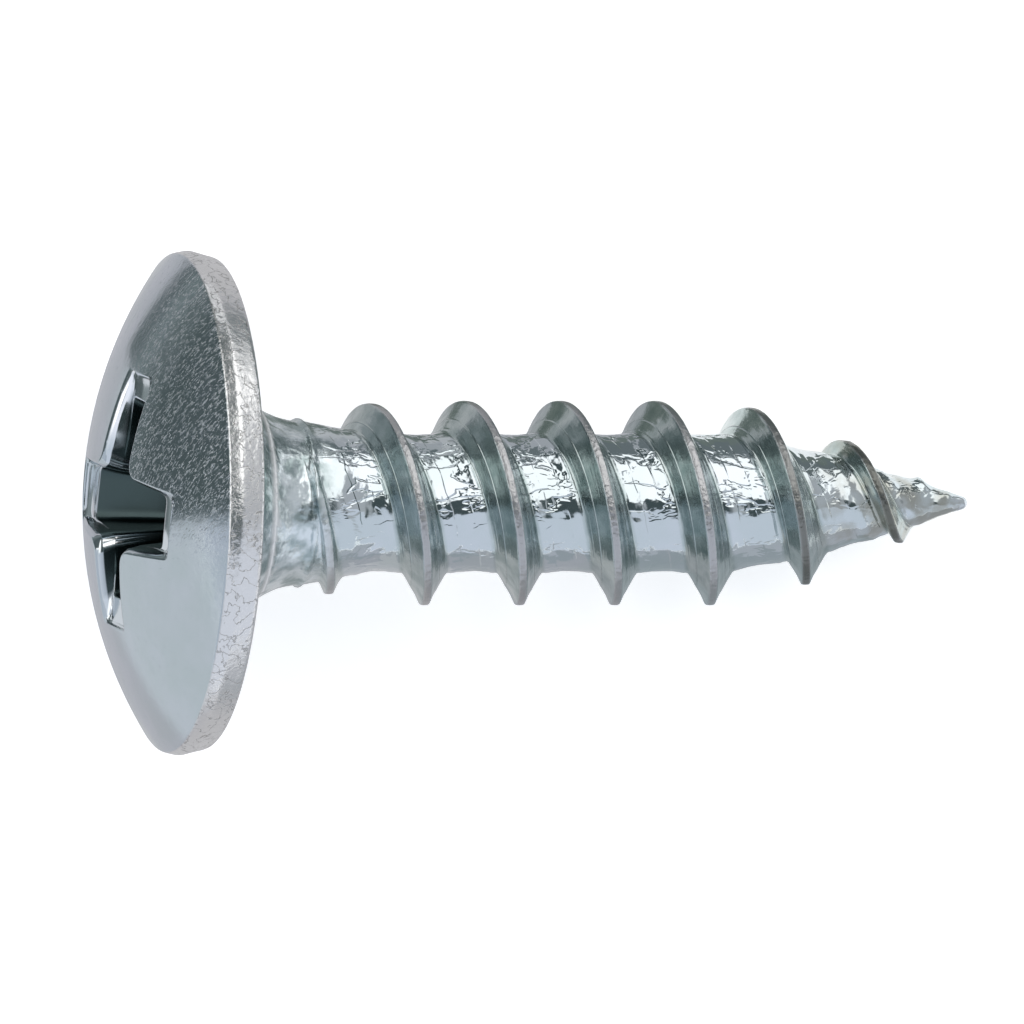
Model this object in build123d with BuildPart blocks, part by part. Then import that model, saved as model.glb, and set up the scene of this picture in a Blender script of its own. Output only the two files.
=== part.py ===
from build123d import *
from math import asin, atan2, ceil, cos, degrees, pi, radians, sin, sqrt, tan
import os

# Truss head screw: a wide low dome with a cross recess, a rolled coarse thread
# that runs up to the neck, and a gimlet point. It is one forged and rolled piece.
# Lengths are in millimetres and angles in degrees. A station is a distance along
# the screw from the bearing face under the head, positive towards the point.

# Head
head_d = 10.5  # across the seam of the rim, the widest place
dome_radius = 9.07
rim_height = 0.78  # from the bearing face to the edge of the dome
seam_drop = 0.25  # from the edge of the dome to the seam
dome_edge_inset = 0.06  # of the edge of the dome, inside the seam
rim_draft = 0.12  # narrowing of the rim from the seam to its edge at the bearing face
bearing_edge_chamfer = 0.06

# Neck and shank
screw_length = 16.23  # from the bearing face to the tip
neck_d = 3.38
neck_fillet = 2.1  # large hollow curve from the bearing face to the neck
neck_plain = 0.1
neck_taper = 1.1  # length over which the neck narrows to the core
core_d = 2.89
point_length = 5.3
point_bends = 4  # slight bends in which the point's shoulder was rolled
cone_length = 1.43  # straight end of the point
cone_angle = 36  # across the end of the point
tip_rounding = 0.15

# Thread, right-handed
major_d = 4.25
pitch = 2.035
flank_angle = 31.5  # of one flank, from square to the axis
crest_flat = 0.17
thread_start = 1.5
thread_start_angle = 270.0  # about the axis, from the side that lies uppermost
crest_rise_start = 1.7
crest_rise_length = 2.7
crest_fall_length = 5.3
crest_fall_power = 1.6
bare_tip = 0.25
die_mismatch = 0.08  # shift of the thread along the screw at its sides, as it was rolled
root_sink = 0.15  # how far the thread's section reaches into the core
sections_per_turn = 12

# Cross recess
recess_offset = 0.85  # of its centre from the axis, as the screw was struck
recess_turn = 11.5  # of its wings, about its own axis
recess_depth = 2.3
recess_point_depth = 0.3  # of the hollow below the wings
wing_reach = 2.45  # half the length of a wing pair where its slope begins
wing_reach_bottom = 1.25
wing_root_width = 1.45
wing_end_width = 1.15
wing_root_width_bottom = 0.95
wing_end_width_bottom = 0.8
land_chamfer = 0.42
land_chamfer_bottom = 0.08
ledge_reach = 2.75  # half the length across the shallow ledges at the wing ends
ledge_depth = 0.5
recess_clearance = 0.2  # how far the cut starts outside the dome

# Radii and stations worked out from the sizes above
head_r = head_d / 2
neck_r = neck_d / 2
core_r = core_d / 2
major_r = major_d / 2
dome_edge_r = head_r - dome_edge_inset
rim_edge_r = head_r - rim_draft
bearing_r = rim_edge_r - bearing_edge_chamfer
seam_station = seam_drop - rim_height
dome_centre_station = sqrt(dome_radius**2 - dome_edge_r**2) - rim_height
pole_station = dome_centre_station - dome_radius
neck_end = neck_fillet + neck_plain
core_start = neck_end + neck_taper
cone_half = radians(cone_angle / 2)
cone_end_r = tip_rounding * cos(cone_half)
cone_end = screw_length - tip_rounding * (1 - sin(cone_half))
cone_start = screw_length - cone_length
point_start = screw_length - point_length
thread_end = screw_length - bare_tip
crest_fall_start = thread_end - crest_fall_length


def cone_radius(station):
    """Radius of the straight end of the point at a station."""
    return cone_end_r + (cone_end - station) * tan(cone_half)


def point_radius(station):
    """Radius of the point's shoulder, from the core to its straight end."""
    share = (cone_start - station) / (cone_start - point_start)
    rise = tan(cone_half) * (cone_start - point_start)
    surplus = rise - (core_r - cone_radius(cone_start))
    return cone_radius(cone_start) + rise * share - surplus * share**2


point_stations = [
    point_start + (cone_start - point_start) * bend / point_bends
    for bend in range(point_bends + 1)
]

# The crest starts inside the neck and ends inside the cone, this far under the surface
crest_end_r = cone_radius(thread_end) - crest_flat / 2
root_share = (core_r - root_sink) / major_r


def crest_radius(station):
    """Radius of the thread's crest: it rises from the neck and falls away on the point."""
    rise = min(1, (station - crest_rise_start) / crest_rise_length)
    fall = max(0, (station - crest_fall_start) / crest_fall_length)
    risen = neck_r + (major_r - neck_r) * sin(pi / 2 * rise)
    fallen = major_r - (major_r - crest_end_r) * fall**crest_fall_power
    return min(risen, fallen)


def crest_angle(station):
    """Angle about the axis, in degrees, at which the crest passes a station."""
    return thread_start_angle + 360 * (station - thread_start) / pitch


def die_shift(station):
    """Shift of the thread along the screw where its crest passes a station."""
    return die_mismatch * sin(radians(crest_angle(station)))


def lying_tilt(station):
    """Tilt at which the rim and the crest's point-side corner both touch the floor."""
    reach = -crest_radius(station) * cos(radians(crest_angle(station)))
    corner = station + die_shift(station) + crest_flat / 2
    return atan2(rim_edge_r - reach, corner + bearing_edge_chamfer)


# The screw lies nose down on the edge of its rim and on the crest near the point. Of all
# places along the crest's point-side corner, the one with the least tilt carries it.
rest_steps = 3000
rest_tilt = min(
    lying_tilt(station)
    for station in (
        thread_start + (thread_end - thread_start) * step / rest_steps
        for step in range(rest_steps + 1)
    )
)

# Directions of the lying screw: along it to the point, and to its upper side
along = Vector(cos(rest_tilt), 0, -sin(rest_tilt))
upward = Vector(sin(rest_tilt), 0, cos(rest_tilt))

# The floor is z = 0, and the origin is under the middle of the screw
left_end = dome_centre_station * cos(rest_tilt) - dome_radius
right_end = (screw_length - tip_rounding) * cos(rest_tilt) + tip_rounding
seat_x = -(left_end + right_end) / 2
seat_z = rim_edge_r * cos(rest_tilt) - bearing_edge_chamfer * sin(rest_tilt)
seat = Vector(seat_x, 0, seat_z)
screw_axis = Axis(seat, along)


def half_plane(angle):
    """Plane through the axis: x is the radius at that angle, y is the station."""
    turned = upward.rotate(Axis((0, 0, 0), along), angle)
    return Plane(origin=seat, x_dir=turned, z_dir=turned.cross(along))


def thread_corners(station):
    """Corners of the thread's profile where the crest passes a station.

    They run from the root nearer the head over the crest to the root nearer the
    point, and both roots lie inside the core.
    """
    crest_r = crest_radius(station)
    root_r = crest_r * root_share
    half_crest = crest_flat / 2
    half_root = half_crest + (crest_r - root_r) * tan(radians(flank_angle))
    plane = half_plane(crest_angle(station))
    middle = station + die_shift(station)
    corners = [
        (root_r, middle - half_root),
        (crest_r, middle - half_crest),
        (crest_r, middle + half_crest),
        (root_r, middle + half_root),
    ]
    return [plane.from_local_coords(Vector(r, a, 0)) for r, a in corners]


def cross_outline(reach, end_width, root_width, chamfer):
    """Corner points of a cross with four tapered wings and cut land corners."""
    root = root_width / 2 + chamfer
    wing = [
        (root, -root_width / 2),
        (reach, -end_width / 2),
        (reach, end_width / 2),
        (root, root_width / 2),
    ]
    points = []
    for quarter in range(4):
        turn = radians(90 * quarter + recess_turn)
        for x, y in wing:
            points.append((x * cos(turn) - y * sin(turn), x * sin(turn) + y * cos(turn)))
    return points


def between(top, bottom, share):
    """A value part of the way from top to bottom, or before top if share is negative."""
    return top + (bottom - top) * share


def wing_section(depth):
    """Outline of the recess at a depth below the dome, at the recess's own centre."""
    share = depth / recess_depth
    return cross_outline(
        between(wing_reach, wing_reach_bottom, share),
        between(wing_end_width, wing_end_width_bottom, share),
        between(wing_root_width, wing_root_width_bottom, share),
        between(land_chamfer, land_chamfer_bottom, share),
    )


# The recess stands square to the dome at its own centre
recess_lean = degrees(asin(recess_offset / dome_radius))
dome_centre = seat + along * dome_centre_station
across = along.cross(upward)
recess_inward = along.rotate(Axis((0, 0, 0), across), -recess_lean)
recess_plane = Plane(
    origin=dome_centre - recess_inward * dome_radius,
    x_dir=across.cross(recess_inward),
    z_dir=recess_inward,
)


def winding_line(points, directions):
    """The path of one corner of the thread's profile, with its directions at both ends."""
    with BuildLine() as winding:
        Spline(*points, tangents=directions, tangent_scalars=(1, 1))
    return winding.edge()


def thread_stretch(first, last):
    """A stretch of the thread between two stations, at most one turn long.

    Each corner of the profile follows a winding line. Ruled faces join these four
    lines, and the first and the last profile close the ends.
    """
    length = last - first
    profiles = [
        thread_corners(first + length * step / sections_per_turn)
        for step in range(sections_per_turn + 1)
    ]
    nudge = length / sections_per_turn / 100
    directions = [
        [ahead - behind for ahead, behind in zip(thread_corners(s + nudge), thread_corners(s - nudge))]
        for s in (first, last)
    ]
    lines = [
        winding_line(points, ends) for points, ends in zip(zip(*profiles), zip(*directions))
    ]
    sides = [
        Face.make_surface_from_curves(line, next_line)
        for line, next_line in zip(lines, lines[1:] + lines[:1])
    ]
    ends = [Face(Wire.make_polygon(profile)) for profile in (profiles[0], profiles[-1])]
    return Solid(Shell(sides + ends))


stretch_count = ceil((thread_end - thread_start) / pitch)
stretch_ends = [
    thread_start + (thread_end - thread_start) * count / stretch_count
    for count in range(stretch_count + 1)
]
thread = [thread_stretch(first, last) for first, last in zip(stretch_ends, stretch_ends[1:])]

with BuildPart() as truss_head_screw:
    # Blank: head, neck, core and point turned about one axis
    with BuildSketch(half_plane(0)) as blank:
        with BuildLine():
            TangentArc((0, pole_station), (dome_edge_r, -rim_height), tangent=(1, 0))
            Polyline(
                (dome_edge_r, -rim_height),
                (head_r, seam_station),
                (rim_edge_r, -bearing_edge_chamfer),
                (bearing_r, 0),
                (neck_r + neck_fillet, 0),
            )
            TangentArc((neck_r, neck_fillet), (neck_r + neck_fillet, 0), tangent=(0, -1))
            Polyline(
                (neck_r, neck_fillet),
                (neck_r, neck_end),
                (core_r, core_start),
                *[(point_radius(station), station) for station in point_stations],
                (cone_end_r, cone_end),
            )
            TangentArc(
                (cone_end_r, cone_end),
                (0, screw_length),
                tangent=(-sin(cone_half), cos(cone_half)),
            )
            Line((0, screw_length), (0, pole_station))
        make_face()
    revolve(axis=screw_axis)

    # Thread, fused to the core
    add(thread)

    # Shallow ledges at the wing ends, struck square to the dome
    with BuildSketch(recess_plane):
        Polygon(cross_outline(ledge_reach, wing_end_width, wing_root_width, land_chamfer))
    extrude(amount=ledge_depth, mode=Mode.SUBTRACT)

    # Wings and the hollow below them
    with BuildSketch(recess_plane.offset(-recess_clearance)) as recess_mouth:
        Polygon(wing_section(-recess_clearance))
    with BuildSketch(recess_plane.offset(recess_depth)) as recess_floor:
        Polygon(wing_section(recess_depth))
    with BuildSketch(recess_plane.offset(recess_depth + recess_point_depth)) as recess_end:
        Polygon(
            cross_outline(
                wing_root_width_bottom / 2,
                wing_end_width_bottom / 2,
                wing_root_width_bottom / 4,
                land_chamfer_bottom,
            )
        )
    loft(
        [recess_mouth.sketch, recess_floor.sketch, recess_end.sketch],
        ruled=True,
        mode=Mode.SUBTRACT,
    )

truss_head_screw.part.label = "truss_head_screw"
os.makedirs("parts", exist_ok=True)
export_step(truss_head_screw.part, "parts/truss_head_screw.step")
print("lying tilt in degrees", round(degrees(rest_tilt), 2))
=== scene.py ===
"""Truss head screw: a bright zinc-plated screw lying nose down on a pale floor.

Stations are lengths along the screw from its bearing face, positive towards the point.
Angles about the axis are in degrees and start at the side that lies uppermost. Sizes are
in millimetres until a finished mesh is put in its place, in metres.
"""

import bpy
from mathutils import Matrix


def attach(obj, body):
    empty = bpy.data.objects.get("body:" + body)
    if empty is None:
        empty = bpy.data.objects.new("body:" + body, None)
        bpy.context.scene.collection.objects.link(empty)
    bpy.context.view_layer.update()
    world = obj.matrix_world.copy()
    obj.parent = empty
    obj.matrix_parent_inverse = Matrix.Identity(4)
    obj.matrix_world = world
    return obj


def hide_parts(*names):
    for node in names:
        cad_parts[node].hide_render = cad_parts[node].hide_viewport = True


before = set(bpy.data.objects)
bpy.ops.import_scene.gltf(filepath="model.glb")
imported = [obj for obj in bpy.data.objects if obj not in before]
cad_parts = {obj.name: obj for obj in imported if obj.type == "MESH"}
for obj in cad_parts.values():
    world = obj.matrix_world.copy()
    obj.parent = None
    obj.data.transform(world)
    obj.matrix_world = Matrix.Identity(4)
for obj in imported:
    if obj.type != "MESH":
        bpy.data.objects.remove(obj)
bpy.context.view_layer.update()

import logging
from dataclasses import dataclass
from enum import Enum
from functools import partial
from math import asin, atan2, cos, exp, pi, radians, sin, sqrt, tan
from typing import Callable

import bmesh
import bpy
from mathutils import Matrix, Vector, noise

logging.basicConfig(level=logging.INFO, format="%(message)s")
LOG = logging.getLogger("truss_head_screw")

Flat = tuple[float, float]
Point = tuple[float, float, float]
Colour = tuple[float, float, float, float]
Socket = bpy.types.NodeSocket

MILLIMETRE = 0.001
PER_METRE = 1000.0


def smooth_step(low: float, high: float, value: float) -> float:
    """A soft step from 0 at low to 1 at high."""
    share = min(1.0, max(0.0, (value - low) / (high - low)))
    return share * share * (3.0 - 2.0 * share)


def between(start: float, end: float, share: float) -> float:
    """A value part of the way from start to end."""
    return start + (end - start) * share


def soft_max(a: float, b: float, blend: float) -> float:
    """The larger of two heights, with a hollow fillet of about the blend's size."""
    gap = max(blend - abs(a - b), 0.0) / blend
    return max(a, b) + gap * gap * blend * 0.25


def bell(value: float, middle: float, width: float) -> float:
    """A rounded hump that is 1 where the value passes the middle."""
    return exp(-(((value - middle) / width) ** 2))


def fractal(place: Vector, octaves: int) -> float:
    """Noise about 0, in which each octave is half as large as the one before."""
    return noise.fractal(place, 1.0, 2.0, octaves)


class Wing(Enum):
    """The wings of the cross recess, named as the photograph shows them."""

    RIGHT = 0
    LOWER = 1
    LEFT = 2
    UPPER = 3


@dataclass(frozen=True)
class Lie:
    """How the screw lies: its seat is the middle of the bearing face."""

    tilt: float = 15.0864
    seat: Point = (-6.51732, 0.0, 4.93757)
    view_tilt: float = 13.6

    def matrix(self) -> Matrix:
        """Place of the screw's own axes (station, side, upper side) in the row frame, in metres."""
        turn = Matrix.Rotation(radians(self.tilt), 4, "Y")
        place = Matrix.Translation(Vector(self.seat))
        return Matrix.Scale(MILLIMETRE, 4) @ place @ turn

    def axes(self) -> tuple[Vector, Vector, Vector]:
        """Directions of the screw's own axes: ahead to the point, to its side, to its upper side."""
        tilt = radians(self.tilt)
        ahead = Vector((cos(tilt), 0.0, -sin(tilt)))
        side = Vector((0.0, 1.0, 0.0))
        up = Vector((sin(tilt), 0.0, cos(tilt)))
        return ahead, side, up


@dataclass(frozen=True)
class Columns:
    """The columns of the mesh about the screw's axis, shared by the head and the shank."""

    count: int = 224
    start: float = -33.5

    def angle(self, index: int) -> float:
        """Angle of a column in degrees."""
        return self.start + 360.0 * index / self.count


@dataclass(frozen=True)
class RollingMarks:
    """Folds, ridges and swellings that the rolling dies left on the shank.

    A pair of stations or distances is a soft step. A scale is in noise cells per millimetre.
    """

    pitch: float
    thread_begins: Flat = (2.3, 3.0)
    thread_stops: Flat = (15.0, 15.8)
    valley_edge: Flat = (0.46, 0.6)
    valley_half: float = 0.52
    valley_sink: float = 0.028
    valley_hollow: float = 0.055
    crease_height: float = 0.012
    crease_level: float = 0.45
    coarse_crease: float = 2.1
    fine_crease: float = 4.6
    fine_share: float = 0.5
    fine_place: Point = (7.0, 3.0, 1.0)
    rear_ridge: float = 0.31
    front_ridge: float = 0.25
    ridge_width: float = 0.028
    ridge_height: float = 0.01
    neck_stops: Flat = (2.6, 3.4)
    neck_height: float = 0.012
    neck_scale: float = 1.7
    ring_station: float = 1.93
    ring_waver: float = 0.05
    ring_scale: float = 0.8
    ring_width: float = 0.075
    ring_height: float = 0.065
    lumps_begin: Flat = (12.6, 14.5)
    lumps_stop: Flat = (15.9, 16.15)
    lump_height: float = 0.03
    lump_scale: float = 2.2
    lump_place: Point = (2.0, 5.0, 0.0)
    burr_middle: Point = (15.22, 0.55, 0.0)
    burr_size: Point = (0.13, 0.22, 0.4)
    burr_height: float = 0.12

    def height(self, station: float, side: float, up: float, offset: float) -> float:
        """How far the surface stands out of the plain shank.

        Args:
            station: where the point is along the screw.
            side: its place across the screw.
            up: its height above the axis.
            offset: how far it is from the nearest crest, along the screw.
        Returns:
            The height in millimetres.
        """
        place = Vector((station, side, up))
        threaded = smooth_step(*self.thread_begins, station)
        threaded *= 1.0 - smooth_step(*self.thread_stops, station)
        return sum((
            self.valley(place, abs(offset)) * threaded,
            self.ridge(offset) * threaded,
            self.swelling(place, station),
            self.ring(place, station),
            self.lumps(place, station),
            self.burr((station, side, up)),
        ))

    def crease(self, place: Vector, scale: float) -> float:
        """Sharp folds where the noise passes 0."""
        return abs(noise.noise(place * scale)) * 2.0 - self.crease_level

    def valley(self, place: Vector, away: float) -> float:
        """The creased valley between two crests, sunk and hollow across."""
        creased = self.crease(place, self.coarse_crease)
        fine_place = place * self.fine_crease + Vector(self.fine_place)
        creased += self.fine_share * self.crease(fine_place, 1.0)
        middle = (self.pitch / 2 - away) / self.valley_half
        hollow = self.valley_hollow * min(1.0, middle * middle)
        return smooth_step(*self.valley_edge, away) * (
            self.crease_height * creased - self.valley_sink + hollow
        )

    def ridge(self, offset: float) -> float:
        """A fine ridge on each flank."""
        line = self.rear_ridge if offset < 0 else self.front_ridge
        return self.ridge_height * bell(abs(offset), line, self.ridge_width)

    def swelling(self, place: Vector, station: float) -> float:
        """Soft swellings of the neck."""
        neck = 1.0 - smooth_step(*self.neck_stops, station)
        return self.neck_height * neck * fractal(place * self.neck_scale, 2)

    def ring(self, place: Vector, station: float) -> float:
        """The wavering ring that ends the neck's hollow curve."""
        middle = self.ring_station + self.ring_waver * noise.noise(place * self.ring_scale)
        return self.ring_height * bell(station, middle, self.ring_width)

    def lumps(self, place: Vector, station: float) -> float:
        """Lumps near the tip."""
        share = smooth_step(*self.lumps_begin, station)
        share *= 1.0 - smooth_step(*self.lumps_stop, station)
        spot = place * self.lump_scale + Vector(self.lump_place)
        return self.lump_height * share * fractal(spot, 3)

    def burr(self, place: Point) -> float:
        """One burr beside the tip."""
        parts = zip(place, self.burr_middle, self.burr_size)
        return self.burr_height * exp(-sum(((at - middle) / size) ** 2 for at, middle, size in parts))


@dataclass
class Shank:
    """Neck, core, point and thread.

    half_rows are the distances from a crest of the mesh's rows, close where the section
    bends. A pair of heights, distances or stations is a soft step, and flank_foot is one
    about the flank's foot.
    """

    columns: Columns
    start: float = 1.0
    start_merge: float = 0.035
    marks_fade: float = 0.3
    length: float = 16.23
    neck_r: float = 1.69
    neck_fillet: float = 2.1
    neck_end: float = 2.2
    neck_blend: float = 0.3
    core_start: float = 3.3
    core_r: float = 1.445
    point_length: float = 5.3
    cone_length: float = 1.43
    cone_angle: float = 36.0
    tip_rounding: float = 0.15
    major_r: float = 2.125
    pitch: float = 2.035
    flank_angle: float = 31.5
    crest_flat: float = 0.17
    crest_crown: float = 0.045
    thread_start: float = 1.5
    thread_start_angle: float = 270.0
    first_turn: int = -2
    turns: int = 11
    crest_rise_start: float = 1.7
    crest_rise_length: float = 2.7
    crest_rise_least: float = -0.5
    crest_fall_length: float = 5.3
    crest_fall_power: float = 1.6
    bare_tip: float = 0.25
    thread_fade: float = 0.1
    die_mismatch: float = 0.08
    root_blend: float = 0.06
    flank_rise: Flat = (0.02, 0.15)
    flank_foot: Flat = (-0.03, 0.07)
    crest_edge: Flat = (0.06, 0.095)
    neck_zone: Flat = (1.9, 2.6)
    half_rows: tuple[float, ...] = (
        0.045, 0.072, 0.088, 0.105, 0.135, 0.175, 0.215, 0.255, 0.285, 0.315, 0.345,
        0.385, 0.43, 0.475, 0.515, 0.56, 0.61, 0.665, 0.72, 0.775, 0.835, 0.895, 0.96,
    )

    def __post_init__(self) -> None:
        """Works out the radii and stations that follow from the sizes."""
        half = radians(self.cone_angle / 2)
        self.cone_slope = tan(half)
        self.cone_end_r = self.tip_rounding * cos(half)
        self.cone_end = self.length - self.tip_rounding * (1 - sin(half))
        self.cone_start = self.length - self.cone_length
        self.point_start = self.length - self.point_length
        self.thread_end = self.length - self.bare_tip
        self.fall_start = self.thread_end - self.crest_fall_length
        self.crest_end_r = self.cone_radius(self.thread_end) - self.crest_flat / 2
        self.marks = RollingMarks(self.pitch)

    def cone_radius(self, station: float) -> float:
        """Radius of the straight end of the point."""
        return self.cone_end_r + (self.cone_end - station) * self.cone_slope

    def body_radius(self, station: float) -> float:
        """Radius of the neck, core and point without the thread."""
        if station < self.neck_fillet:
            rise = self.neck_fillet - station
            return self.neck_r + self.neck_fillet - sqrt(max(0.0, self.neck_fillet**2 - rise**2))
        if station < self.point_start:
            low, high = self.neck_end - self.neck_blend, self.core_start + self.neck_blend
            return between(self.neck_r, self.core_r, smooth_step(low, high, station))
        if station < self.cone_start:
            share = (self.cone_start - station) / (self.cone_start - self.point_start)
            rise = self.cone_slope * (self.cone_start - self.point_start)
            surplus = rise - (self.core_r - self.cone_radius(self.cone_start))
            return self.cone_radius(self.cone_start) + rise * share - surplus * share**2
        if station < self.cone_end:
            return self.cone_radius(station)
        reach = station - (self.length - self.tip_rounding)
        return sqrt(max(0.0, self.tip_rounding**2 - reach**2))

    def crest_radius(self, station: float) -> float:
        """Radius of the thread's crest: it rises from the neck and falls away on the point."""
        rise = (station - self.crest_rise_start) / self.crest_rise_length
        rise = min(1.0, max(self.crest_rise_least, rise))
        fall = min(1.0, max(0.0, (station - self.fall_start) / self.crest_fall_length))
        risen = self.neck_r + (self.major_r - self.neck_r) * sin(pi / 2 * rise)
        fallen = self.major_r - (self.major_r - self.crest_end_r) * fall**self.crest_fall_power
        return min(risen, fallen)

    def radius(self, station: float, offset: float, crest_station: float) -> float:
        """Radius of the surface without the marks of the dies.

        Args:
            station: where the point is along the screw.
            offset: how far it is from the nearest crest, along the screw.
            crest_station: where that crest passes, without the mismatch of the dies.
        Returns:
            The radius in millimetres.
        """
        body = self.body_radius(station)
        if station >= self.length or station <= self.start:
            return body
        crest = self.crest_radius(crest_station)
        fall = max(0.0, abs(offset) - self.crest_flat / 2) / tan(radians(self.flank_angle))
        crown = self.crest_crown * min(1.0, abs(offset) / self.crest_flat) ** 2
        thread = crest - fall - crown
        ended = smooth_step(self.thread_end, self.thread_end + self.thread_fade, crest_station)
        blend = self.root_blend * min(1.0, body)
        return between(soft_max(body, thread, blend), body, ended)

    def rows(self) -> list[float]:
        """Offsets from a crest of the rows of one turn, in order, half a pitch each way."""
        return [-row for row in reversed(self.half_rows)] + [0.0] + list(self.half_rows)

    def zone(self, station: float, offset: float, crest_station: float) -> Colour:
        """Shares of valley, flank, crest and neck at a point of the surface."""
        body = self.body_radius(station)
        rise = max(0.0, self.crest_radius(crest_station) - body)
        foot = self.crest_flat / 2 + rise * tan(radians(self.flank_angle))
        there = smooth_step(*self.flank_rise, rise)
        low, high = (foot + edge for edge in self.flank_foot)
        valley = 1.0 - there * (1.0 - smooth_step(low, high, abs(offset)))
        top = there * (1.0 - smooth_step(*self.crest_edge, abs(offset)))
        neck = 1.0 - smooth_step(*self.neck_zone, station)
        return (valley * (1.0 - neck), max(0.0, 1.0 - valley - top), top, neck)

    def surface_point(self, station: float, angle: float, offset: float, crest: float) -> Vector:
        """A point of the finished surface in the screw's own axes."""
        r = self.radius(station, offset, crest)
        turn = radians(angle)
        side = -sin(turn)
        up = cos(turn)
        if self.start < station < self.length:
            marks = self.marks.height(station, side * r, up * r, offset)
            r += marks * smooth_step(self.start, self.start + self.marks_fade, station)
        return Vector((station, side * r, up * r))

    def build(self, bm: bmesh.types.BMesh, zones: "Zones") -> None:
        """Rolls a grid round the axis in line with the thread."""
        turn_rows = self.rows()
        rows = len(turn_rows) * self.turns
        segments = self.columns.count
        made = bmesh.ops.create_grid(bm, x_segments=segments, y_segments=rows, size=0.5)
        for vert in made["verts"]:
            column = round((vert.co.x + 0.5) * segments)
            row = round((vert.co.y + 0.5) * rows)
            turn, phase = divmod(row, len(turn_rows))
            angle = self.columns.angle(column)
            crest = self.thread_start + self.pitch * (
                (angle - self.thread_start_angle) / 360.0 + self.first_turn + turn
            )
            shift = self.die_mismatch * sin(radians(angle))
            offset = turn_rows[phase]
            station = min(self.length, max(self.start, crest + shift + offset))
            if station < self.start + self.start_merge:
                station = self.start
            vert.co = self.surface_point(station, angle, offset, crest)
            vert[zones.thread] = self.zone(station, offset, crest)
            vert[zones.away] = abs(offset)


@dataclass(frozen=True)
class Zones:
    """Vertex layers that tell the plating what part of the screw it is on, and where shade and
    highlights are painted.
    """

    thread: bmesh.types.BMLayerItem
    head: bmesh.types.BMLayerItem
    away: bmesh.types.BMLayerItem

    @classmethod
    def on(cls, bm: bmesh.types.BMesh) -> "Zones":
        """Makes the layers."""
        layers = bm.verts.layers
        return cls(
            layers.float_color.new("thread_zone"),
            layers.float_color.new("head_zone"),
            layers.float.new("away"),
        )

    def settle(self, bm: bmesh.types.BMesh, border: float, neck_begins: Flat) -> None:
        """Clears the head's zones on the shank, and gives the head the start of the neck's zone.

        Args:
            bm: the mesh of both.
            border: the station at which the head's part of the mesh ends.
            neck_begins: the soft step of stations at which the neck's zone begins.
        """
        for vert in bm.verts:
            if vert.co.x > border:
                vert[self.head] = (0.0, 0.0, 0.0, 0.0)
            else:
                vert[self.thread] = (0.0, 0.0, 0.0, smooth_step(*neck_begins, vert.co.x))
                vert[self.away] = 1.0


@dataclass(frozen=True)
class Ring:
    """One ring of the head's mesh: each column's place and its share of painted shade.

    The share is 1 deep in the recess, 0 on the open skin and negative for a painted highlight.
    """

    place: Callable[[int], Vector]
    painted_shade: Callable[[int], float]


def at_bottom(index: int) -> float:
    """Share of painted shade at the bottom of the recess, in every column."""
    return 1.0


def on_skin(index: int) -> float:
    """Share of painted shade on the head's open skin, in every column."""
    return 0.0


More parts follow.
